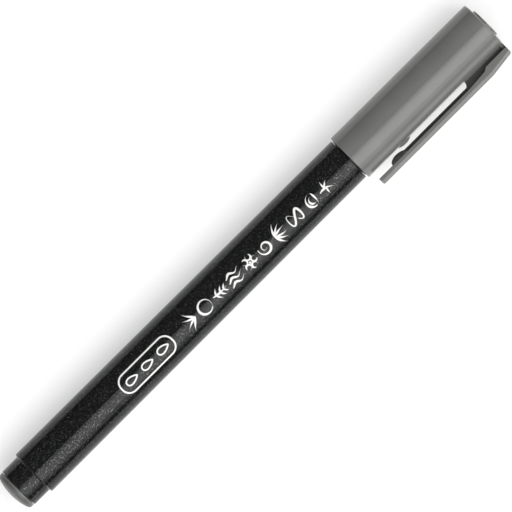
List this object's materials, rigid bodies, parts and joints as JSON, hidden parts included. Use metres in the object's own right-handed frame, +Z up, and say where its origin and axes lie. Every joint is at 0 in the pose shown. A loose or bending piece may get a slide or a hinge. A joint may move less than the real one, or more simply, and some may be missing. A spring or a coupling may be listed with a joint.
{
  "type": "brush-tip calligraphy marker",
  "caption": "Slim round brush-tip calligraphy marker with a glittery black barrel, grey tail plug, and a grey pull-off cap with a long side clip.",
  "frame": {"origin": "under the middle of the pen, on the surface that it lies on: the centre of the bottom of its box", "axes": "+X along the pen from the tail plug to the cap's crown; -Y is the clip's side; +Z is up, the printed face of the barrel"},
  "size_m": [0.137, 0.0144, 0.0112],
  "materials": {
    "glitter_black": "gloss black with fine silver flakes",
    "plug_grey": "satin",
    "section_black": "satin",
    "inked_fibre": "soaked fibre",
    "film": "thin smooth film",
    "core_fibre": "bonded fibre",
    "nib": "soft, ink-stained",
    "inner_cap": "natural polyethylene",
    "cap_grey": "satin moulded"
  },
  "bodies": {
    "pen": {"barrel": "glitter_black", "tail_plug": "plug_grey", "front_section": "section_black", "ink_reservoir": "inked_fibre", "reservoir_film": "film", "feed_core": "core_fibre"},
    "nib": {"nib": "nib"},
    "inner_cap": {"inner_cap": "inner_cap"},
    "cap": {"cap_shell": "cap_grey"},
    "clip": {"clip": "cap_grey"}
  },
  "joints": [
    {"name": "cap_pull", "type": "slide", "parent": "pen", "child": "inner_cap", "axis": [1, 0, 0], "range_m": [0, 0.045]},
    {"name": "cap_turn", "type": "hinge", "parent": "inner_cap", "child": "cap", "pos_m": [0.0485, 0.00164, 0.0056], "axis": [1, 0, 0], "continuous": true},
    {"name": "clip_flex", "type": "hinge", "parent": "cap", "child": "clip", "pos_m": [0.0565, -0.00645, 0.0056], "axis": [0, 0, 1], "range_deg": [0, 4.5], "stiffness_Nm_per_rad": 0.8},
    {"name": "nib_flex", "type": "hinge", "parent": "pen", "child": "nib", "pos_m": [0.0497, 0.00164, 0.0056], "axis": [0, 0, 1], "range_deg": [-8, 8], "stiffness_Nm_per_rad": 0.02}
  ]
}
